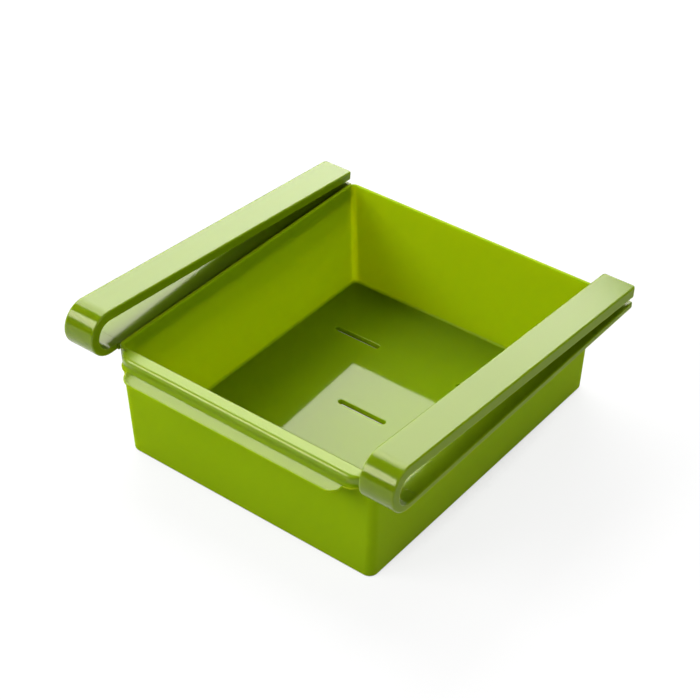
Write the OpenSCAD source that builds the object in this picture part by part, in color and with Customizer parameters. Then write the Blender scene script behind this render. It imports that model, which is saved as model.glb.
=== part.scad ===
// Fridge drawer organizer: a drafted plastic tub that hangs under a fridge shelf.
// Two hairpin clip rails grip the shelf, and the tub slides out of them on side tongues.
// Millimetres. +X is the drawer's right, +Y its back, +Z up.
// The origin is the middle of the whole thing's footprint, on the surface it stands on.

/* [Tub] */
// Outside width of the tub at its foot
tub_w = 128; // [100:0.5:220]
// Outside depth of the tub at its foot
tub_d = 153; // [110:1:260]
// Height of the tub's rim over its foot
tub_h = 54; // [40:1:100]
// Thickness of the tub's walls
wall = 1.7; // [1.2:0.1:2.4]
// Thickness of the tub's floor
floor_t = 2; // [1.2:0.1:4]
// How far each side wall leans out between foot and rim
side_draft = 2.3; // [0.5:0.1:4]
// How far the front wall leans out
front_draft = 0.8; // [0:0.1:3]
// How far the back wall leans out
back_draft = 1.2; // [0:0.1:2]
// Radius of the tub's upright corners, outside
corner_r = 4; // [3:0.5:8]
// Radius of the edge round the tub's foot
foot_r = 1; // [0.5:0.1:2.5]

/* [Floor slots] */
// Length of a drain slot, end to end
slot_len = 25; // [8:1:32]
// Width of a drain slot
slot_w = 2.4; // [1.5:0.1:4]
// Distance of the corner slots from the middle one, across
slot_across = 34; // [20:1:40]
// Distance of the corner slots from the middle one, front to back
slot_along = 40.5; // [15:0.5:45]

/* [Front pull] */
// Radius of the rolled rim's top, front to back
roll_r = 7.5; // [6:0.5:12]
// Angle that the rolled rim turns down through
roll_turn = 42; // [25:1:50]
// Radius of the rolled rim's front edge
roll_edge_r = 2; // [1.9:0.1:3]
// Straight drop from the rolled rim's edge to the lip
step_drop = 0.7; // [0:0.1:3]
// Radius of the hollow between the rolled rim and the lip
hollow_r = 1.2; // [0.8:0.1:3]
// Depth of the pull lip, front to back
lip_d = 5.3; // [2:0.1:8]
// Slope of the pull lip, down to the front
lip_slope = 22; // [5:1:35]
// Length of the pull lip, end to end
lip_w = 110.8; // [60:0.2:114]
// Radius of the pull lip's ends, seen from above
lip_end_r = 5.5; // [2:0.5:7]
// Length of the rolled rim, end to end
roll_w = 125; // [115:0.5:127]
// Radius of the rolled rim's ends, seen from above
roll_end_r = 11; // [4:0.5:14]
// Thickness of the rolled rim and the lip
pull_t = 1.8; // [1.2:0.1:1.8]

/* [Clip rails] */
// Width of a hairpin clip
clip_w = 15.8; // [10:0.2:24]
// Gap between the tub's rim and the hairpin beside it
clip_gap = 0.9; // [0.6:0.05:3]
// Height of the hairpin's front loop
loop_h = 20.8; // [17:0.2:30]
// How far the front loop stands ahead of the tub's foot
loop_reach = 12.7; // [11.5:0.1:20]
// Thickness of the loop at its front
loop_t = 4.4; // [3:0.1:5]
// Thickness of the upper arm where it leaves the loop
arm_root_t = 4.8; // [3.5:0.1:6]
// Thickness of the upper arm at its tail
arm_t = 4; // [2.5:0.1:5]
// Depth of the stiffening edge along the upper arm's outer side
arm_edge = 5.2; // [5.1:0.1:7]
// Width of that stiffening edge
arm_edge_w = 2.4; // [1.5:0.1:5]
// Thickness of the lower arm, the rail that carries the tub
rail_t = 2.8; // [2.4:0.1:4]
// How far the lower arm's top lies below the tub's rim
rail_drop = 1; // [0:0.1:2.5]
// How far the upper arm's tail passes the tub's foot at the back
tail_past = 2.6; // [2.1:0.1:10]
// How much shorter the lower arm is than the upper arm
rail_short = 0.9; // [0:0.1:0.9]
// Radius of the tail's corners, seen from above
tail_r = 1.5; // [0.5:0.5:4]
// Gap under the left upper arm's tail, as it is moulded
left_tail_gap = 0.4; // [0.3:0.1:4]
// Gap under the right upper arm's tail, as it is moulded
right_tail_gap = 2.4; // [0.3:0.1:4]

/* [Runner] */
// Clearance between the tub and the rails
clearance = 0.3; // [0.2:0.05:0.6]
// How far the side tongues stand out from the rim
tongue_w = 3.7; // [2.5:0.1:5]
// Thickness of the side tongues
tongue_t = 2.4; // [1.6:0.1:3]
// Wall thickness of the channel that holds a tongue
channel_t = 2; // [1.4:0.1:3]
// Distance from the tub's foot back to where the channel starts
channel_start = 8; // [6:1:30]
// How far the tub slides out
travel = 105; // [40:1:105]
// Height of the stop tooth on a tongue
tooth_h = 0.9; // [0.6:0.1:1]
// Length of the stop tooth
tooth_len = 3.5; // [2:0.5:8]

/* [Hidden] */
$fn = 64;

green = [0.52, 0.64, 0.02];
light_green = [0.58, 0.70, 0.08];
far = 400;    // longer than anything here, for cutting
eps = 0.01;   // overlap of pieces that are joined

// Places, front to back, from the tub's front foot
tail_y = tub_d + tail_past;
rail_tail_y = tail_y - rail_short;
loop_r = loop_h / 2;
loop_y = loop_r - loop_reach;
depth = loop_reach + tail_y;
front_y = loop_reach - depth / 2;

// Places across, from the middle
rim_x = tub_w / 2 + side_draft;
rail_x = rim_x + clearance;
clip_x = rim_x + clip_gap;
outer_x = clip_x + clip_w;
tongue_x = rim_x + tongue_w;
channel_x = tongue_x + clearance + channel_t;

// Heights
rail_top = tub_h - rail_drop;
rail_low = rail_top - rail_t;
loop_z = rail_low + loop_r;
tongue_top = rail_low - clearance;
tongue_low = tongue_top - tongue_t;
channel_floor = tongue_low - clearance;
channel_low = channel_floor - channel_t;
groove_top = rail_low + tooth_h + clearance;

// Stop tooth: it meets the groove's front end when the tub is out by its travel
end_wall = 1.6;
channel_end = rail_tail_y;
tongue_end = channel_end - end_wall - clearance;
tongue_start = channel_start + 1;
tooth_end = tongue_end - 1;
tooth_start = tooth_end - tooth_len;
groove_start = tooth_start - travel - clearance;

// The hairpin's inside is a smaller circle, set low and back in the loop
inner_r = (loop_h - rail_t - arm_root_t) / 2;
inner_c = [loop_t + inner_r - loop_reach, rail_top + inner_r];
outer_c = [loop_y, loop_z];

function polar(r, a) = [r * cos(a), r * sin(a)];
function arc(c, r, a0, a1, steps = 10) = [for (i = [0:steps]) c + polar(r, a0 + (a1 - a0) * i / steps)];

// ---- Tub -------------------------------------------------------------------

// Corner posts of the tub at height z, where r is the corner's radius
module posts(z, r) {
    lean = z / tub_h;
    for (side = [-1, 1]) {
        x = side * (tub_w / 2 - corner_r + side_draft * lean);
        for (y = [corner_r - front_draft * lean, tub_d - corner_r + back_draft * lean])
            translate([x, y, z]) cylinder(r = r, h = eps, $fn = 48);
    }
}

// A drafted, round-cornered block, thin walls inside the tub's outside, its foot edge rounded
module drafted_block(low, high, inset, edge_r) {
    hull() {
        for (a = [0:22.5:90])
            posts(low + edge_r * (1 - sin(a)), corner_r - inset - edge_r * (1 - cos(a)));
        posts(high, corner_r - inset);
    }
}

module slot() {
    run = (slot_len - slot_w) / 2;
    translate([0, 0, -1]) linear_extrude(floor_t + 2) {
        square([2 * run, slot_w], center = true);
        for (side = [-1, 1]) translate([side * run, 0]) circle(d = slot_w, $fn = 24);
    }
}

// One slot in the middle of the floor and one towards each corner
module slots() {
    translate([0, tub_d / 2, 0]) {
        slot();
        for (x = [-1, 1], y = [-1, 1]) translate([x * slot_across, y * slot_along, 0]) slot();
    }
}

// Section of the rolled rim and the lip at depth t under their top face, from the wall forwards.
// The crest is at [0, 0], and each arc goes on from where the one before it ends.
function pull_curve(t) =
    let (
        roll_end = 90 + roll_turn,
        edge_end = 172,
        lip_turn = 90 + lip_slope,
        c1 = [0, -roll_r],
        c2 = c1 + polar(roll_r - roll_edge_r, roll_end),
        c3 = c2 + polar(roll_edge_r + hollow_r, edge_end) + polar(step_drop, edge_end + 90),
        lip_from = c3 + polar(hollow_r + t, lip_turn + 180),
        lip_to = lip_from + polar(lip_d, lip_turn + 90)
    )
    concat(
        arc(c1, roll_r - t, 90, roll_end),
        arc(c2, roll_edge_r - t, roll_end, edge_end, 6),
        arc(c3, hollow_r + t, edge_end + 180, lip_turn + 180, 6),
        [lip_to]
    );

pull_top = pull_curve(0);
pull_bottom = pull_curve(pull_t);
lip_tip = pull_top[len(pull_top) - 1];
lip_front = front_draft - lip_tip.x;
roll_front = front_draft + (roll_r - roll_edge_r) * sin(roll_turn) + roll_edge_r;

// The front pull, cut to its outline seen from above: a long rolled rim with a shorter lip ahead of it
module pull() {
    inside = wall - 0.2;
    section = concat(
        [[inside, -pull_t - 1], [inside, 0]],
        pull_top,
        [for (i = [len(pull_bottom) - 1:-1:0]) pull_bottom[i]]
    );
    intersection() {
        translate([-roll_w / 2, -front_draft, tub_h]) rotate([90, 0, 90]) linear_extrude(roll_w) polygon(section);
        translate([0, 0, tub_h / 2]) linear_extrude(tub_h) {
            rounded_front(roll_w / 2, roll_front, roll_end_r);
            rounded_front(lip_w / 2, lip_front, lip_end_r);
        }
    }
}

// Outline that runs from the front wall forwards by reach, with both front corners rounded
module rounded_front(half_w, reach, r) {
    back = max(0, r - reach) + wall;
    polygon(concat(
        arc([r - half_w, r - reach], r, 180, 270),
        arc([half_w - r, r - reach], r, 270, 360),
        [[half_w, back], [-half_w, back]]
    ));
}

// Tongue on the tub's right side that hangs in the rail's channel, with its stop tooth
module tongue() {
    root_x = rim_x - wall;
    translate([root_x, tongue_start, tongue_low])
        cube([tongue_x - root_x, tongue_end - tongue_start, tongue_t]);
    translate([rail_x, tooth_start, tongue_top - eps])
        cube([tongue_x - rail_x, tooth_len, tooth_h + eps]);
}

module drawer_tub() color(green) translate([0, front_y, 0]) {
    difference() {
        union() {
            drafted_block(0, tub_h, 0, foot_r);
            pull();
            tongue();
            mirror([1, 0, 0]) tongue();
        }
        drafted_block(floor_t, tub_h + 4, wall, foot_r);
        slots();
    }
}

// ---- Clip rails ------------------------------------------------------------

// The upper arm's top runs from the loop, at a tangent, to its tail's top corner
function tail_top(gap) = [tail_y, rail_top + gap + arm_edge];
function lean(gap) =
    let (v = tail_top(gap) - outer_c)
    atan2(v.y, v.x) + acos(loop_r / norm(v));

// The rail and the arm meet at the loop's middle height, where the inside circle is at this angle
split_turn = 180 - asin((loop_z - inner_c.y) / inner_r);

// Section of the upper arm, its underside drawn through the points given from tail to loop
module arm_section(gap, underside) {
    polygon(concat(
        arc(outer_c, loop_r, 180, lean(gap), 20),
        [tail_top(gap)],
        underside,
        arc(inner_c, inner_r, lean(gap), split_turn, 16)
    ));
}

module plain_section(gap) arm_section(gap, [tail_top(gap) - polar(arm_t, lean(gap))]);

// The stiffening edge deepens over the arm's first stretch, then keeps its depth to the tail
module edge_section(gap) {
    fade = 16;
    deepest = outer_c + polar(loop_r - arm_edge, lean(gap)) + polar(fade, lean(gap) - 90);
    arm_section(gap, [tail_top(gap) - polar(arm_edge, lean(gap)), deepest]);
}

module rail_section() {
    polygon(concat(
        arc(outer_c, loop_r, 180, 270, 20),
        [[rail_tail_y, rail_low], [rail_tail_y, rail_top]],
        arc(inner_c, inner_r, 270, split_turn, 16)
    ));
}

// Draws a section, given as [front to back, height], between two places across
module across(from, to) {
    translate([from, 0, 0]) rotate([90, 0, 90]) linear_extrude(to - from) children();
}

// Both arms are cut to this outline from above, so their tails have round corners
module tail_outline(end) {
    y = end - tail_r;
    translate([0, 0, rail_low - 1]) linear_extrude(far) polygon(concat(
        [[clip_x - 1, -far / 2], [outer_x + 1, -far / 2], [outer_x + 1, y]],
        arc([outer_x - tail_r, y], tail_r, 0, 90),
        arc([clip_x + tail_r, y], tail_r, 90, 180),
        [[clip_x - 1, y]]
    ));
}

module clip_arm(gap) {
    edge_x = outer_x - arm_edge_w;
    intersection() {
        union() {
            across(clip_x, edge_x) plain_section(gap);
            across(edge_x, outer_x) edge_section(gap);
        }
        tail_outline(tail_y);
    }
}

// Channel under the lower arm that the tub's tongue slides in, closed at the back
module channel() {
    inner = rail_x;
    translate([tongue_x + clearance, channel_start, channel_low])
        cube([channel_t, channel_end - tail_r - channel_start, rail_low - channel_low + eps]);
    translate([inner, channel_start, channel_low])
        cube([channel_x - inner, channel_end - channel_start, channel_t]);
    translate([inner, channel_end - end_wall, channel_low])
        cube([channel_x - inner, end_wall, rail_low - channel_low + eps]);
}

module rail() {
    difference() {
        union() {
            intersection() {
                across(clip_x, outer_x) rail_section();
                tail_outline(rail_tail_y);
            }
            translate([rail_x, 1, rail_low]) cube([clip_gap, rail_tail_y - 1, rail_t]);
            channel();
        }
        translate([rail_x - 1, groove_start, rail_low - eps])
            cube([tongue_x + clearance - rail_x + 1, tongue_end + clearance - groove_start, groove_top - rail_low]);
    }
}

module right_rail() color(green) translate([0, front_y, 0]) rail();
module left_rail() color(green) translate([0, front_y, 0]) mirror([1, 0, 0]) rail();
module right_clip_arm() color(light_green) translate([0, front_y, 0]) clip_arm(right_tail_gap);
module left_clip_arm() color(light_green) translate([0, front_y, 0]) mirror([1, 0, 0]) clip_arm(left_tail_gap);

drawer_tub();
left_rail();
right_rail();
left_clip_arm();
right_clip_arm();
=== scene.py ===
"""Looks of a fridge drawer organizer: a glossy green tub that slides in two hairpin clip rails.

Lengths are millimetres in the tub's own places (y = 0 at its front foot) until they become mesh points.
The camera, the floor and the lights are in metres, in the frame.
"""
from math import acos, atan2, cos, hypot, pi, radians, sin, sqrt

import bmesh
import bpy
from mathutils import Matrix, Vector

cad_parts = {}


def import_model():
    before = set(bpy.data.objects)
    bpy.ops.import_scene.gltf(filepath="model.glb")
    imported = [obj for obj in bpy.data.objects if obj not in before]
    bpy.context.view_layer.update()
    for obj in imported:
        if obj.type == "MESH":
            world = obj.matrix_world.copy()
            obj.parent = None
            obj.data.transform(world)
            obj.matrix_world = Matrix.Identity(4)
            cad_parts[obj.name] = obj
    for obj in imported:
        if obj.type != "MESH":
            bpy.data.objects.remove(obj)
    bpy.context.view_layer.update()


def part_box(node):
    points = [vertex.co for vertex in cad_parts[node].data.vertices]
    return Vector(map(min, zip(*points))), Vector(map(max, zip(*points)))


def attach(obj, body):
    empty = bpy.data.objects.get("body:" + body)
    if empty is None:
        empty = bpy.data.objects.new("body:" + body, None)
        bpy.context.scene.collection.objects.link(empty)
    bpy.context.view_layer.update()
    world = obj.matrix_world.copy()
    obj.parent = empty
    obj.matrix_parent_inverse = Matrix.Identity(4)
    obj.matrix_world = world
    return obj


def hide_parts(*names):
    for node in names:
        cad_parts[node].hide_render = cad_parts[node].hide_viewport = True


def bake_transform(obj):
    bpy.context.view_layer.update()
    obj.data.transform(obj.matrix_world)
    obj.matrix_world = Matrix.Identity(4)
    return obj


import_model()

# ---- Sizes, as in the frame -----------------------------------------------------

MM = 0.001
CLIP_LOW, CLIP_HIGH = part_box("right_clip_arm")
_, RAIL_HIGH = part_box("right_rail")

LOOP_REACH = 12.7                              # the loops' front stands this far ahead of the tub's foot
FRONT_Y = CLIP_LOW[1] / MM + LOOP_REACH        # the tub's front foot in the frame
TUB_HALF_W, TUB_D, TUB_H = 64.0, 153.0, 54.0
WALL, FLOOR_T = 1.7, 2.0
SIDE_DRAFT, FRONT_DRAFT, BACK_DRAFT = 2.3, 0.8, 1.2
CORNER_R, FOOT_R = 4.0, 1.0
RIM_EDGE_R, FLOOR_FILLET_R = 0.55, 1.3

SLOT_LEN, SLOT_W, SLOT_EDGE_R = 25.0, 2.4, 0.5
SLOT_ACROSS, SLOT_ALONG = 34.0, 40.5           # from the middle slot to the corner ones

CLIP_X, OUTER_X = CLIP_LOW[0] / MM, CLIP_HIGH[0] / MM
TAIL_Y = CLIP_HIGH[1] / MM - FRONT_Y
RAIL_TAIL_Y = RAIL_HIGH[1] / MM - FRONT_Y
RAIL_TOP, RAIL_T = 53.0, 2.8
RAIL_LOW_Z = RAIL_TOP - RAIL_T
LOOP_R = 10.4
OUTER_C = (LOOP_R - LOOP_REACH, RAIL_LOW_Z + LOOP_R)
ARM_ROOT_T, ARM_T, LOOP_T = 4.8, 4.0, 4.4
INNER_R = (2 * LOOP_R - RAIL_T - ARM_ROOT_T) / 2
INNER_C = (LOOP_T + INNER_R - LOOP_REACH, RAIL_TOP + INNER_R)
ARM_EDGE, ARM_EDGE_W, EDGE_RUN = 5.2, 2.4, 16  # the upper arm's deeper outer edge, and its run-in
EDGE_STEP_HALF = 0.3                           # half the width of the slope beside that edge
TAIL_R, TAIL_EDGE_R = 1.5, 0.6
LEFT_GAP, RIGHT_GAP = 0.4, 2.4
OUTSIDE_R, INSIDE_R = 0.75, 0.5                # edges of the hairpin's outer and inner faces
BUTT_Y = 3.0                                   # where the loop piece meets the straight rail

RAIL_X = 66.6
STRIP_START, STRIP_LAP, STRIP_R = 1.0, 0.6, 0.2
TONGUE_ROOT_X, TONGUE_X = 65.9, 70.0
TONGUE_LOW, TONGUE_TOP, TONGUE_R = 47.5, 49.9, 0.35
TONGUE_START, TONGUE_END = 9.0, 152.8
TOOTH_START, TOOTH_END = 148.3, 151.8
TOOTH_H, TOOTH_ROOT, TOOTH_R = 0.9, 0.6, 0.3
CHANNEL_X, CHANNEL_WALL_X = 72.3, 70.3
CHANNEL_LOW, CHANNEL_FLOOR = 45.2, 47.2
CHANNEL_START, CHANNEL_END_T, CHANNEL_R = 8.0, 1.6, 0.4
APART = 0.03                                   # keeps faces of two bars from lying in one plane


def world(x, y, z):
    return (x * MM, (y + FRONT_Y) * MM, z * MM)


def lerp(a, b, t):
    return a + (b - a) * t


def smooth(t):
    t = min(1.0, max(0.0, t))
    return t * t * (3 - 2 * t)


def quarter(n):
    """The angles of a quarter turn in n steps."""
    return [pi / 2 * k / n for k in range(n + 1)]


# ---- Mesh helpers ---------------------------------------------------------------


class Shells:
    """Closed shells that share one mesh."""

    def __init__(self):
        self.bm = bmesh.new()

    def ring(self, points):
        return [self.bm.verts.new(world(*p)) for p in points]

    def bridge(self, a, b):
        n = len(a)
        for i in range(n):
            j = (i + 1) % n
            self.bm.faces.new((a[i], a[j], b[j], b[i]))

    def loft(self, rings, caps=True):
        """Joins rings of points in turn, and caps both ends."""
        loops = [self.ring(r) for r in rings]
        for a, b in zip(loops, loops[1:]):
            self.bridge(a, b)
        if caps:
            self.bm.faces.new(loops[0][::-1])
            self.bm.faces.new(loops[-1])
        return loops

    def fill(self, rim, holes):
        """Fills the flat face inside a ring, but not its holes."""
        edges = []
        for ring in [rim] + holes:
            for i in range(len(ring)):
                ends = (ring[i - 1], ring[i])
                edges.append(self.bm.edges.get(ends) or self.bm.edges.new(ends))
        bmesh.ops.triangle_fill(self.bm, use_beauty=True, use_dissolve=False, edges=edges)

    def finish(self, name):
        bmesh.ops.recalc_face_normals(self.bm, faces=self.bm.faces)
        mesh = bpy.data.meshes.new(name)
        self.bm.to_mesh(mesh)
        self.bm.free()
        mesh.polygons.foreach_set("use_smooth", [True] * len(mesh.polygons))
        obj = bpy.data.objects.new(name, mesh)
        bpy.context.scene.collection.objects.link(obj)
        return obj


def arc(cx, cy, r, a0, a1, n):
    turns = [radians(lerp(a0, a1, i / n)) for i in range(n + 1)]
    return [(cx + r * cos(a), cy + r * sin(a)) for a in turns]


# Places from a bar's rounded end, and how far its section draws in there, both as shares of the radius
BAR_END = ((0, 0.9), (0.12, 0.5), (0.5, 0.14), (1, 0), (2, 0))


def rounded_box(shells, x0, x1, y0, y1, z0, z1, r):
    """A bar along y with rounded edges."""
    corners = ((x1 - r, z1 - r, 0), (x0 + r, z1 - r, 90), (x0 + r, z0 + r, 180), (x1 - r, z0 + r, 270))
    stations = [(y0 + r * s, r * inset) for s, inset in BAR_END]
    stations += [(y1 - r * s, r * inset) for s, inset in BAR_END[::-1]]
    rings = []
    for y, inset in stations:
        bend = max(r - inset, 0.02)
        rings.append([(x, y, z) for cx, cz, a in corners for x, z in arc(cx, cz, bend, a, a + 90, 4)])
    shells.loft(rings)


# ---- The front pull -------------------------------------------------------------

# Its section, from the wall's face below it round to the rim's inner edge. Each corner is a point
# [y, z], a radius and the steps of its round.
PULL = [
    ((-0.66, 43.0), 0, 0),
    ((-0.72, 47.5), 2.3, 7),                   # where the lip leaves the wall
    ((-10.7, 46.3), 0.7, 7),                   # the lip's bevelled lower edge
    ((-12.2, 48.1), 0.45, 7),                  # and its tip
    ((-5.45, 49.5), 1.9, 7),                   # the groove between lip and bead
    ((-5.45, 53.65), 2.0, 12),                 # the bead
    ((-0.2, 54.05), 14.0, 5),                  # its broad crest
    ((0.9, 54.0), 0.45, 6),                    # the rim's inner edge
    ((0.95, 50.0), 0, 0),
]
EDGE, GROOVE, CREST, RIM = 2, 4, 6, 7          # the corners where parts of the section start
LIP_HALF, LIP_END_R = 55.4, 5.5
LIP_END_SHARE = 0.35                           # of the lip's thickness, at its ends
BEAD_HALF, BEAD_END_R = 61.6, 6.5


def round_corners(corners):
    """Points along a line of rounded corners, and where each corner's arc starts among them."""
    pts, marks = [], []
    for i, (p, r, n) in enumerate(corners):
        marks.append(len(pts))
        if not r:
            pts.append(p)
            continue
        a, b = Vector(corners[i - 1][0]), Vector(corners[i + 1][0])
        p = Vector(p)
        u, v = (a - p).normalized(), (b - p).normalized()
        half = acos(max(-1, min(1, u.dot(v)))) / 2
        reach = r / max(1e-6, sin(half) / cos(half))
        start, end = p + u * reach, p + v * reach
        centre = p + (u + v).normalized() * (r / sin(half))
        a0 = atan2(start.y - centre.y, start.x - centre.x)
        turn = (atan2(end.y - centre.y, end.x - centre.x) - a0 + pi) % (2 * pi) - pi
        angles = [a0 + turn * k / n for k in range(n + 1)]
        pts += [(centre.x + r * cos(t), centre.y + r * sin(t)) for t in angles]
    return pts, marks


def with_supports(pts, marks, gap=0.12, short=0.7, long=3):
    """Adds a point just inside each end of the straight runs, so that flat faces shade flat."""
    out, new_marks = [], []
    for i, p in enumerate(pts):
        if i in marks:
            new_marks.append(len(out))
        out.append(p)
        if i + 1 < len(pts):
            q = pts[i + 1]
            d = hypot(q[0] - p[0], q[1] - p[1])
            if d > short:
                t = gap / d
                shares = (t, 0.5, 1 - t) if d > long else (t, 1 - t)
                out += [(lerp(p[0], q[0], s), lerp(p[1], q[1], s)) for s in shares]
    return out, new_marks


PULL_LINE, pull_marks = with_supports(*round_corners(PULL))
EDGE_START, GROOVE_START, CREST_START, RIM_START = (pull_marks[i] for i in (EDGE, GROOVE, CREST, RIM))
GROOVE_Y, GROOVE_Z = PULL_LINE[GROOVE_START]
TIP_Y, TIP_Z = min(PULL_LINE[EDGE_START:GROOVE_START])
LIP_SLOPE = (TIP_Z - GROOVE_Z) / (TIP_Y - GROOVE_Y)


def end_share(x, half, r):
    """How far a ledge with rounded ends stands out at x, as a share of its full reach."""
    d = abs(x) - (half - r)
    if d <= 0:
        return 1.0
    return sqrt(1 - (d / r) ** 2) if d < r else 0.0


def wall_y(z):
    return -FRONT_DRAFT * min(z, TUB_H) / TUB_H


def lip_plane(y):
    """Height of the lip's sloping top at y."""
    return GROOVE_Z + (y - GROOVE_Y) * LIP_SLOPE


def plain_point(k):
    """Where point k of the pull's section lies on the bare wall and rim: (out, z)."""
    if k >= RIM_START:
        y, z = PULL_LINE[k]
        return -(y - wall_y(z)), z
    z0 = PULL_LINE[0][1]
    face, bend = TUB_H - z0 - RIM_EDGE_R, RIM_EDGE_R * pi / 2
    s = k / RIM_START * (face + bend + WALL - 2 * RIM_EDGE_R)
    if s < face:
        return 0.0, z0 + s
    s -= face
    if s < bend:
        a = s / RIM_EDGE_R
        return -RIM_EDGE_R * (1 - cos(a)), TUB_H - RIM_EDGE_R + RIM_EDGE_R * sin(a)
    return -RIM_EDGE_R - (s - bend), TUB_H


def pull_point(k, x):
    """Point k of the pull's section at x, its lip and bead drawn in towards their ends."""
    y, z = PULL_LINE[k]
    if k >= CREST_START:
        return y, z
    bead = end_share(x, BEAD_HALF, BEAD_END_R)
    if k >= GROOVE_START:
        return lerp(wall_y(z), y, bead), z
    lip = end_share(x, LIP_HALF, LIP_END_R)
    thick = lerp(LIP_END_SHARE, 1, lip)
    groove_y = lerp(wall_y(GROOVE_Z), GROOVE_Y, bead)
    tip_y = groove_y + (TIP_Y - GROOVE_Y) * lip
    drop = (tip_y - groove_y) * LIP_SLOPE
    if k >= EDGE_START:
        share = (y - GROOVE_Y) / (TIP_Y - GROOVE_Y)
        below = z - lip_plane(y)
        return groove_y + (tip_y - groove_y) * share, GROOVE_Z + drop * share + below * thick
    # The underside, which follows the lip's lower edge
    base = wall_y(z)
    share = (y - base) / (TIP_Y - base)
    edge_y, edge_z = PULL_LINE[EDGE_START]
    new_edge_z = GROOVE_Z + drop + (edge_z - lip_plane(edge_y)) * thick
    return base + share * (tip_y - base), z + (new_edge_z - edge_z) * smooth(share * 1.1)


# ---- Tub ------------------------------------------------------------------------


def straight_places(half, marks, step, least=0.05):
    """Places along a straight side, denser near each of the marks: (centre, reach, number)."""
    places = {half}
    x = 0.0
    while x < half:
        places.add(round(x, 3))
        x += step
    for centre, reach, n in marks:
        places.add(round(min(half, centre + 0.3), 3))
        places.update(round(min(half, centre - reach + reach * sin(a)), 3) for a in quarter(n))
    kept = [0.0]
    for p in sorted(places):
        if p - kept[-1] > least:
            kept.append(p)
    kept[-1] = half
    return [-p for p in kept[:0:-1]] + kept


TOP_STRAIGHT = TUB_HALF_W + SIDE_DRAFT - CORNER_R
FRONT_PLACES = straight_places(TOP_STRAIGHT, [(LIP_HALF, LIP_END_R, 14), (BEAD_HALF, BEAD_END_R, 14)], 4.0)
FRONT_T = [x / TOP_STRAIGHT for x in FRONT_PLACES]
SIDE_T = [-1, -0.998, -0.97] + [i / 8 - 1 for i in range(1, 16)] + [0.97, 0.998, 1]
CORNER_STEPS = 12
LEAST_CORNER_R = 0.9

# Heights of the rings round the plain walls
OUTSIDE_ZS = (1.15, 3, 8, 14, 20, 26, 32, 37, 40.5, 42.4)
INSIDE_ZS = (46, 40, 30, 20, 12, 7, FLOOR_T + FLOOR_FILLET_R + 0.15)


def plan_ring(out, z, front=None):
    """A ring round the tub at this height, out from its outer face.

    front gives the front side's own (y, z) at a place across it.
    """
    lean = min(z, TUB_H) / TUB_H
    r = max(CORNER_R + out, LEAST_CORNER_R)
    hx = TUB_HALF_W + SIDE_DRAFT * lean + out - r
    y0 = -FRONT_DRAFT * lean - out + r
    y1 = TUB_D + BACK_DRAFT * lean + out - r

    def corner(cx, cy, a):
        return [(cx + x, cy + y, z) for x, y in arc(0, 0, r, a, a + 90, CORNER_STEPS)[1:-1]]

    pts = [(t * hx, *(front(x) if front else (y0 - r, z))) for x, t in zip(FRONT_PLACES, FRONT_T)]
    pts += corner(hx, y0, -90)
    pts += [(hx + r, lerp(y0, y1, (t + 1) / 2), z) for t in SIDE_T]
    pts += corner(hx, y1, 0)
    pts += [(-t * hx, y1 + r, z) for t in FRONT_T]
    pts += corner(-hx, y1, 90)
    pts += [(-hx - r, lerp(y1, y0, (t + 1) / 2), z) for t in SIDE_T]
    pts += corner(-hx, y0, 180)
    return pts


def slot_ring(cx, cy, grow, z, n=10):
    run, r = (SLOT_LEN - SLOT_W) / 2, SLOT_W / 2 + grow
    pts = [(cx + run + x, cy + y, z) for x, y in arc(0, 0, r, -90, 90, n)]
    return pts + [(cx - run + x, cy + y, z) for x, y in arc(0, 0, r, 90, 270, n)]


def add_slots(shells, upper, lower):
    """Slots through the floor, with rounded upper edges and walls that close in towards the underside."""
    e = SLOT_EDGE_R
    steps = [(e + 0.12, FLOOR_T)]
    steps += [(e * (1 - sin(a)), FLOOR_T - e * (1 - cos(a))) for a in quarter(5)]
    steps += [(-0.02, FLOOR_T - e - 0.1), (-0.55, 0.7), (-0.6, 0.3), (-0.5, 0.08), (-0.3, 0), (0, 0)]
    middle = TUB_D / 2
    centres = [(0, middle)]
    centres += [(sx * SLOT_ACROSS, middle + sy * SLOT_ALONG) for sx in (-1, 1) for sy in (-1, 1)]
    slots = [shells.loft([slot_ring(*c, grow, z) for grow, z in steps], caps=False) for c in centres]
    shells.fill(upper, [walls[0] for walls in slots])
    shells.fill(lower, [walls[-1] for walls in slots])


def add_tongue(shells, side):
    """The tongue that hangs in a rail's channel, and its stop tooth."""
    xs = sorted((side * TONGUE_ROOT_X, side * TONGUE_X))
    rounded_box(shells, *xs, TONGUE_START, TONGUE_END, TONGUE_LOW, TONGUE_TOP, TONGUE_R)
    xs = sorted((side * RAIL_X, side * (TONGUE_X - 0.1)))
    low, high = TONGUE_TOP - TOOTH_ROOT, TONGUE_TOP + TOOTH_H
    rounded_box(shells, *xs, TOOTH_START, TOOTH_END, low, high, TOOTH_R)


def tub():
    shells = Shells()
    rings = [plan_ring(-FOOT_R - 0.4, 0), plan_ring(-FOOT_R, 0)]
    rings += [plan_ring(-FOOT_R + FOOT_R * sin(a), FOOT_R * (1 - cos(a))) for a in quarter(5)[1:]]
    rings += [plan_ring(0, z) for z in OUTSIDE_ZS]
    for k in range(len(PULL_LINE) - 1):
        rings.append(plan_ring(*plain_point(k), lambda x: pull_point(k, x)))
    rings += [plan_ring(-WALL, z) for z in INSIDE_ZS]
    for a in quarter(6):
        out = -WALL - FLOOR_FILLET_R * (1 - cos(a))
        rings.append(plan_ring(out, FLOOR_T + FLOOR_FILLET_R * (1 - sin(a))))
    rings.append(plan_ring(-WALL - FLOOR_FILLET_R - 0.2, FLOOR_T))
    loops = shells.loft(rings, caps=False)
    add_slots(shells, loops[-1], loops[0])
    for side in (-1, 1):
        add_tongue(shells, side)
    return shells.finish("drawer_tub_body")


# ---- Clips and rails ------------------------------------------------------------

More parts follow.
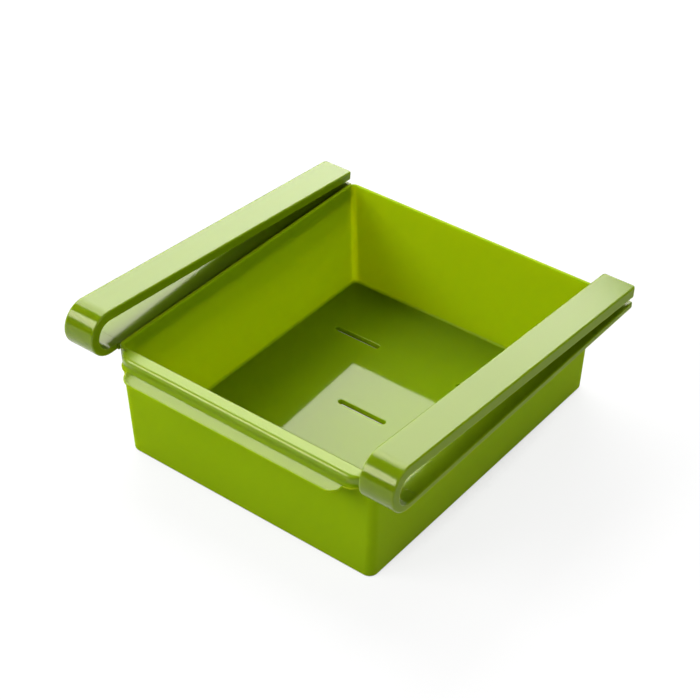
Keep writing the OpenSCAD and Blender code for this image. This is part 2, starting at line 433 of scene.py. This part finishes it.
BUTT_STEP = 0.15                               # a ring just behind the butt, which keeps its edge crisp
ARM_PLACES = (0.3, 2, 5, 9, 13, 16, 19, 30, 50, 70, 90, 110, 130, 145)
RAIL_PLACES = (20, 50, 80, 110, 140)
LOOP_STEPS = 44


def clip_ring(depth, edge_depth, gap=0.15):
    """Section across the hairpin: (across, depth below the outer face), round its rounded edges."""
    ro, ri, inside = OUTSIDE_R, INSIDE_R, OUTER_X - ARM_EDGE_W
    pts = [(CLIP_X + ro - ro * cos(a), ro - ro * sin(a)) for a in quarter(6)]
    pts += [(CLIP_X + ro + gap, 0), ((CLIP_X + OUTER_X) / 2, 0), (OUTER_X - ro - gap, 0)]
    pts += [(OUTER_X - ro + ro * sin(a), ro - ro * cos(a)) for a in quarter(6)]
    pts += [(OUTER_X, lerp(ro, edge_depth - ri, t)) for t in (0.1, 0.9)]
    pts += [(OUTER_X - ri + ri * cos(a), edge_depth - ri + ri * sin(a)) for a in quarter(4)]
    pts += [(OUTER_X - ri - gap, edge_depth)]
    for k in range(7):
        x = inside + EDGE_STEP_HALF - 2 * EDGE_STEP_HALF * k / 6
        pts.append((x, lerp(edge_depth, depth, smooth(k / 6))))
    pts += [(inside - EDGE_STEP_HALF - gap, depth), (CLIP_X + ri + gap, depth)]
    pts += [(CLIP_X + ri - ri * sin(a), depth - ri + ri * cos(a)) for a in quarter(4)]
    pts += [(CLIP_X, lerp(depth - ri, ro, t)) for t in (0.1, 0.9)]
    return pts


def placed_ring(outer, inner, depth, edge_depth, side, inset=0.0, edge_inset=0.0):
    """The section from a point of the outer face to one of the inner face, drawn in at a rounded end."""
    d = (Vector(inner) - Vector(outer)).normalized()
    mid, half = (CLIP_X + OUTER_X) / 2, (OUTER_X - CLIP_X) / 2
    scale = (half - inset) / half
    pts = []
    for x, t in clip_ring(depth, edge_depth):
        t = edge_inset + t * (depth - 2 * edge_inset) / depth
        pts.append((side * (mid + (x - mid) * scale), outer[0] + d.x * t, outer[1] + d.y * t))
    return pts


def drawn_in(e, r):
    """How far a rounded end draws in at this distance from it, a little less than a true round."""
    return (r - sqrt(max(0, r ** 2 - (r - e) ** 2))) * 0.8 if e < r else 0


# Distances from a rounded tail, with how far its plan and its edges draw in there
tail_places = [TAIL_R * s for s in (1, 0.75, 0.5)]
tail_places += [TAIL_EDGE_R * s for s in (1, 0.7, 0.45, 0.22, 0.06, 0)]
TAIL_STEPS = [(e, drawn_in(e, TAIL_R), drawn_in(e, TAIL_EDGE_R)) for e in tail_places]


def arm_angle(gap):
    """Where the loop's outer face runs out into the arm's, for this gap at the tail."""
    v = (TAIL_Y - OUTER_C[0], RAIL_TOP + gap + ARM_EDGE - OUTER_C[1])
    return atan2(v[1], v[0]) + acos(LOOP_R / hypot(*v))


def on(c, r, a):
    return (c[0] + r * cos(a), c[1] + r * sin(a))


def between(a, b, t):
    return (lerp(a[0], b[0], t), lerp(a[1], b[1], t))


def apart(a, b):
    return hypot(a[0] - b[0], a[1] - b[1])


def clip(side, gap, name):
    """The loop and its sprung upper arm."""
    shells = Shells()
    rings = []
    for y in (BUTT_Y, BUTT_Y - BUTT_STEP, BUTT_Y - 2):
        rings.append(placed_ring((y, RAIL_LOW_Z), (y, RAIL_TOP), RAIL_T, RAIL_T, side))
    a_top = arm_angle(gap)
    for k in range(LOOP_STEPS + 1):
        a = lerp(3 * pi / 2, a_top, k / LOOP_STEPS)
        o, i = on(OUTER_C, LOOP_R, a), on(INNER_C, INNER_R, a)
        depth = apart(o, i)
        rings.append(placed_ring(o, i, depth, depth, side))
    root_o, root_i = on(OUTER_C, LOOP_R, a_top), on(INNER_C, INNER_R, a_top)
    tail_o = (TAIL_Y, RAIL_TOP + gap + ARM_EDGE)
    tail_i = (tail_o[0] - ARM_T * cos(a_top), tail_o[1] - ARM_T * sin(a_top))
    length = apart(tail_o, root_o)
    steps = [(s, 0, 0) for s in (*ARM_PLACES, length - TAIL_R - 1)]
    steps += [(length - e, inset, edge) for e, inset, edge in TAIL_STEPS]
    for s, inset, edge in steps:
        o, i = between(root_o, tail_o, s / length), between(root_i, tail_i, s / length)
        depth = apart(o, i)
        edge_depth = lerp(depth, ARM_EDGE, smooth(s / EDGE_RUN))
        rings.append(placed_ring(o, i, depth, edge_depth, side, inset, edge))
    shells.loft(rings)
    return shells.finish(name)


def rail(side, name):
    """The straight lower arm, the strip beside the tub's rim, and the channel below."""
    shells = Shells()
    places = (BUTT_Y, BUTT_Y + BUTT_STEP, *RAIL_PLACES, RAIL_TAIL_Y - TAIL_R - 1)
    steps = [(y, 0, 0) for y in places]
    steps += [(RAIL_TAIL_Y - e, inset, edge) for e, inset, edge in TAIL_STEPS]
    shells.loft([placed_ring((y, RAIL_LOW_Z), (y, RAIL_TOP), RAIL_T, RAIL_T, side, inset, edge)
                 for y, inset, edge in steps])

    def bar(x0, x1, y0, y1, z0, z1, r):
        rounded_box(shells, *sorted((side * x0, side * x1)), y0, y1, z0, z1, r)

    e = APART
    bar(RAIL_X, CLIP_X + STRIP_LAP, STRIP_START, RAIL_TAIL_Y - 0.3, RAIL_LOW_Z + e, RAIL_TOP - e, STRIP_R)
    # The channel's outer wall, its floor, and the stop that closes its back end
    bar(CHANNEL_WALL_X, CHANNEL_X, CHANNEL_START, RAIL_TAIL_Y - TAIL_R,
        CHANNEL_LOW, RAIL_LOW_Z + 0.8, CHANNEL_R)
    bar(RAIL_X + e, CHANNEL_X - e, CHANNEL_START + e, RAIL_TAIL_Y - e,
        CHANNEL_LOW + e, CHANNEL_FLOOR, CHANNEL_R)
    bar(RAIL_X + 2 * e, CHANNEL_X - 2 * e, RAIL_TAIL_Y - CHANNEL_END_T, RAIL_TAIL_Y - 2 * e,
        CHANNEL_LOW + 2 * e, RAIL_LOW_Z + 0.7, CHANNEL_R)
    return shells.finish(name)


# ---- Material -------------------------------------------------------------------

# The two greens that the clouding runs between
GREENS = {"A": (0.235, 0.365, 0.002), "B": (0.250, 0.382, 0.003)}
ROUGH_SPREAD = 0.15                            # how far the clouding moves the roughness, as a share
# How far light goes into the thin walls and into the thick parts, in metres
THIN, THICK, OPAQUE = 0.010, 0.004, 0.0


def socket(node, name, value):
    node.inputs[name].default_value = value


def green_plastic(name, gloss, coat, roughness, depth, painted_light_scale=1.0):
    """Moulded plastic: faint clouding in its colour and gloss, and a surface that is not quite flat. The
    last argument scales the green: above 1 it paints light on, below 1 it paints shade on.
    """
    mat = bpy.data.materials.new(name)
    mat.use_nodes = True
    nodes, links = mat.node_tree.nodes, mat.node_tree.links
    shader = nodes["Principled BSDF"]
    place = nodes.new("ShaderNodeTexCoord")

    cloud = nodes.new("ShaderNodeTexNoise")
    socket(cloud, "Scale", 22.0)
    socket(cloud, "Detail", 3.0)
    colour = nodes.new("ShaderNodeMix")
    colour.data_type = "RGBA"
    for end, (red, green, blue) in GREENS.items():
        # The green scaled here is painted light or painted shade, not a different plastic
        socket(colour, end, (red * painted_light_scale, green * painted_light_scale, blue, 1))
    links.new(place.outputs["Object"], cloud.inputs["Vector"])
    links.new(cloud.outputs["Fac"], colour.inputs["Factor"])
    links.new(colour.outputs["Result"], shader.inputs["Base Color"])

    wave = nodes.new("ShaderNodeTexNoise")
    socket(wave, "Scale", 35.0)
    socket(wave, "Detail", 1.0)
    bump = nodes.new("ShaderNodeBump")
    socket(bump, "Strength", 0.03)
    socket(bump, "Distance", 0.001)
    links.new(place.outputs["Object"], wave.inputs["Vector"])
    links.new(wave.outputs["Fac"], bump.inputs["Height"])
    links.new(bump.outputs["Normal"], shader.inputs["Normal"])

    rough = nodes.new("ShaderNodeMapRange")
    socket(rough, "To Min", roughness * (1 - ROUGH_SPREAD))
    socket(rough, "To Max", roughness * (1 + ROUGH_SPREAD))
    links.new(cloud.outputs["Fac"], rough.inputs["Value"])
    links.new(rough.outputs["Result"], shader.inputs["Roughness"])
    socket(shader, "IOR", 1.46)
    socket(shader, "Specular IOR Level", gloss)
    socket(shader, "Specular Tint", (1.0, 0.97, 0.64, 1))
    socket(shader, "Coat Weight", coat)
    socket(shader, "Coat Roughness", 0.3)
    # Thin walls let some of the light behind them through
    socket(shader, "Subsurface Weight", 1.0 if depth else 0.0)
    socket(shader, "Subsurface Radius", (1.08, 0.96, 0.35))
    socket(shader, "Subsurface Scale", depth)
    return mat


tub_inside = green_plastic("tub_inside", 0.0, 0.12, 0.4, THIN)
# The outside is the same green painted 12% lighter: painted light
tub_outside = green_plastic("tub_outside", 0.0, 0.06, 0.4, THICK, 1.12)
# The tub's floor and the ledge are the same green painted darker: painted shade
tub_floor = green_plastic("tub_floor", 0.5, 0.0, 0.05, THIN, 0.9)
ledge_gloss = green_plastic("ledge_gloss", 0.54, 0.0, 0.14, THICK, 0.9)
pull_edge = green_plastic("pull_edge", 0.6, 0.0, 0.23, THICK)
# The clips and rails are the tub's green painted darker: painted shade
clip_gloss = green_plastic("clip_gloss", 0.47, 0.0, 0.12, THICK, 0.75)
clip_satin = green_plastic("clip_satin", 0.0, 0.12, 0.4, OPAQUE, 0.78)
clip_side = green_plastic("clip_side", 0.0, 0.35, 0.4, THICK, 0.75)

# ---- Pieces ---------------------------------------------------------------------

FLOOR_BELOW = 3.0                              # faces that look up below this are the tub's floor
EDGE_ABOVE, EDGE_BEFORE = 50.2, 0.6            # the pull's rolled edge lies above and before these
LEDGE_ABOVE = 45.0
RIM_ABOVE = 53.0
RUNNER_BELOW = RAIL_LOW_Z - 0.3


def dress(obj, finishes, pick, *nodes):
    """Gives the piece its finishes, each face the one that pick names."""
    for mat in finishes:
        obj.data.materials.append(mat)
    for face in obj.data.polygons:
        x, y, z = face.center / MM
        face.material_index = finishes.index(pick(face.normal, x, y - FRONT_Y, z))
    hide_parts(*nodes)


def tub_finish(normal, x, y, z):
    if normal.z > 0.97 and z < FLOOR_BELOW:
        return tub_floor
    if z > EDGE_ABOVE and y < EDGE_BEFORE:
        return pull_edge
    if normal.z > 0.9 and y < 0 and z > LEDGE_ABOVE:
        return ledge_gloss
    away = Vector((x, y - TUB_D / 2))
    # Faces that look outward take the lighter copy, which is painted light
    return tub_outside if away.dot(normal.to_2d()) > 0 or z > RIM_ABOVE else tub_inside


def rail_finish(normal, x, y, z):
    faces_tub = x * normal.x < -0.7 * abs(x)
    return clip_satin if z < RUNNER_BELOW or faces_tub else clip_finish(normal, x, y, z)


def clip_finish(normal, x, y, z):
    return clip_side if abs(normal.x) > 0.9 else clip_gloss


tub_body = tub()
dress(tub_body, [tub_inside, tub_outside, tub_floor, ledge_gloss, pull_edge], tub_finish, "drawer_tub")
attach(tub_body, "drawer")

for side, word, gap in ((-1, "left", LEFT_GAP), (1, "right", RIGHT_GAP)):
    rail_piece = rail(side, word + "_rail_bar")
    dress(rail_piece, [clip_gloss, clip_satin, clip_side], rail_finish, word + "_rail")
    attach(rail_piece, word + "_rail")
    clip_piece = clip(side, gap, word + "_hairpin")
    dress(clip_piece, [clip_gloss, clip_side], clip_finish, word + "_clip_arm")
    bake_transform(clip_piece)

# ---- Camera ---------------------------------------------------------------------

EYE = Vector((0.367524, -0.470832, 0.502884))
AIM = Vector((-0.016458, 0.017834, 0.020))
ROLL = -0.0023
SENSOR, LENS = 36.0, 93.285


def stand(obj, place, right, up, back):
    """Puts a camera or lamp, which looks along its own -Z, at a place with these axes."""
    obj.matrix_world = Matrix.Translation(place) @ Matrix((right, up, back)).transposed().to_4x4()
    bpy.context.scene.collection.objects.link(obj)


def add_camera():
    data = bpy.data.cameras.new("camera")
    data.sensor_width = SENSOR
    data.lens = LENS
    obj = bpy.data.objects.new("camera", data)
    forward = (AIM - EYE).normalized()
    level = forward.cross(Vector((0, 0, 1))).normalized()
    right = level * cos(ROLL) + level.cross(forward) * sin(ROLL)
    stand(obj, EYE, right, right.cross(forward), -forward)
    bpy.context.scene.camera = obj


add_camera()

# ---- Floor ----------------------------------------------------------------------

FLOOR_HALF, FLOOR_Z = 6.0, -0.0001
FLOOR_GREY = 0.55                              # what the lamps' light meets
SEEN_GREY, SEEN_GLOW = 0.17, 0.85              # what is seen of the floor, in the light and of itself
GLOW_REACH, GLOW_NONE, GLOW_FULL = 0.08, 0.1, 0.38    # the glow fades close to the part: a painted shade of the part on the floor


def grey(value):
    return (value, value, value, 1)


def floor_material():
    """A pale floor that keeps the part's shadow, and is white where it is seen or mirrored; close to the
    part its glow is dimmed, a painted shade.
    """
    mat = bpy.data.materials.new("studio_floor")
    mat.use_nodes = True
    nodes, links = mat.node_tree.nodes, mat.node_tree.links
    nodes.clear()
    out = nodes.new("ShaderNodeOutputMaterial")
    path = nodes.new("ShaderNodeLightPath")
    seen = nodes.new("ShaderNodeMath")
    seen.operation = "MAXIMUM"
    seen_too = nodes.new("ShaderNodeMath")
    seen_too.operation = "MAXIMUM"
    links.new(path.outputs["Is Camera Ray"], seen.inputs[0])
    links.new(path.outputs["Is Glossy Ray"], seen.inputs[1])
    links.new(seen.outputs[0], seen_too.inputs[0])
    links.new(path.outputs["Is Transmission Ray"], seen_too.inputs[1])
    plain = nodes.new("ShaderNodeBsdfDiffuse")
    socket(plain, "Color", grey(FLOOR_GREY))
    shaded = nodes.new("ShaderNodeBsdfDiffuse")
    socket(shaded, "Color", grey(SEEN_GREY))
    glow = nodes.new("ShaderNodeEmission")
    painted_shade_occlusion = nodes.new("ShaderNodeAmbientOcclusion")
    socket(painted_shade_occlusion, "Distance", GLOW_REACH)
    level = nodes.new("ShaderNodeMapRange")
    socket(level, "From Min", GLOW_NONE)
    socket(level, "From Max", GLOW_FULL)
    socket(level, "To Max", SEEN_GLOW)
    links.new(painted_shade_occlusion.outputs["AO"], level.inputs["Value"])
    links.new(level.outputs["Result"], glow.inputs["Strength"])
    white = nodes.new("ShaderNodeAddShader")
    links.new(shaded.outputs[0], white.inputs[0])
    links.new(glow.outputs[0], white.inputs[1])
    mix = nodes.new("ShaderNodeMixShader")
    links.new(seen_too.outputs[0], mix.inputs["Fac"])
    links.new(plain.outputs[0], mix.inputs[1])
    links.new(white.outputs[0], mix.inputs[2])
    links.new(mix.outputs[0], out.inputs["Surface"])
    return mat


def add_floor():
    mesh = bpy.data.meshes.new("studio_floor")
    signs = ((-1, -1), (1, -1), (1, 1), (-1, 1))
    corners = [(sx * FLOOR_HALF, sy * FLOOR_HALF, FLOOR_Z) for sx, sy in signs]
    mesh.from_pydata(corners, [], [(0, 1, 2, 3)])
    obj = bpy.data.objects.new("studio_floor", mesh)
    bpy.context.scene.collection.objects.link(obj)
    mesh.materials.append(floor_material())


add_floor()

# ---- Lights ---------------------------------------------------------------------

LIGHT_CENTRE = Vector((0, 0, 0.03))
LIGHT_DISTANCE = 1.6
# Name; azimuth, elevation and roll in degrees; width and height in metres; radiance
LIGHTS = [
    ("softbox_back_left", 130.8, 43.4, 35.8, 1.558, 0.788, 5.9),
    ("softbox_front_left", 37.9, 34.5, -27.9, 0.965, 0.602, 9.7),
    ("softbox_left_low", 95.0, 18.0, 0.0, 2.0, 1.0, 0.95),
    ("softbox_back_low", 180.0, 18.0, 0.0, 2.0, 1.0, 0.5),
    ("softbox_above_back", 155.0, 67.0, 0.0, 1.0, 1.0, 2.3),
    ("softbox_right", -80.0, 24.0, 0.0, 1.6, 1.2, 1.35),
]
WORLD_LIGHT, WORLD_SEEN = 0.01, 1.0


def softbox(name, azimuth, elevation, roll, width, height, radiance):
    """A softbox seen from the part in this direction. Azimuth 0 is ahead of the part, 90 to its left."""
    data = bpy.data.lights.new(name, "AREA")
    data.shape = "RECTANGLE"
    data.size, data.size_y = width, height
    data.energy = radiance * pi * width * height
    obj = bpy.data.objects.new(name, data)
    a, e, t = radians(azimuth), radians(elevation), radians(roll)
    way = Vector((-sin(a) * cos(e), -cos(a) * cos(e), sin(e)))
    along = Vector((0, 0, 1)).cross(way).normalized()
    up = way.cross(along)
    along, up = along * cos(t) + up * sin(t), up * cos(t) - along * sin(t)
    stand(obj, LIGHT_CENTRE + way * LIGHT_DISTANCE, along, up, way)


def add_world():
    """Nearly dark to the part, white to the camera."""
    world_data = bpy.data.worlds.new("studio")
    bpy.context.scene.world = world_data
    world_data.use_nodes = True
    nodes, links = world_data.node_tree.nodes, world_data.node_tree.links
    background = nodes["Background"]
    path = nodes.new("ShaderNodeLightPath")
    strength = nodes.new("ShaderNodeMapRange")
    socket(strength, "To Min", WORLD_LIGHT)
    socket(strength, "To Max", WORLD_SEEN)
    links.new(path.outputs["Is Camera Ray"], strength.inputs["Value"])
    links.new(strength.outputs["Result"], background.inputs["Strength"])
    socket(background, "Color", grey(1))


for light in LIGHTS:
    softbox(*light)
add_world()

bpy.context.scene.view_settings.view_transform = "Standard"
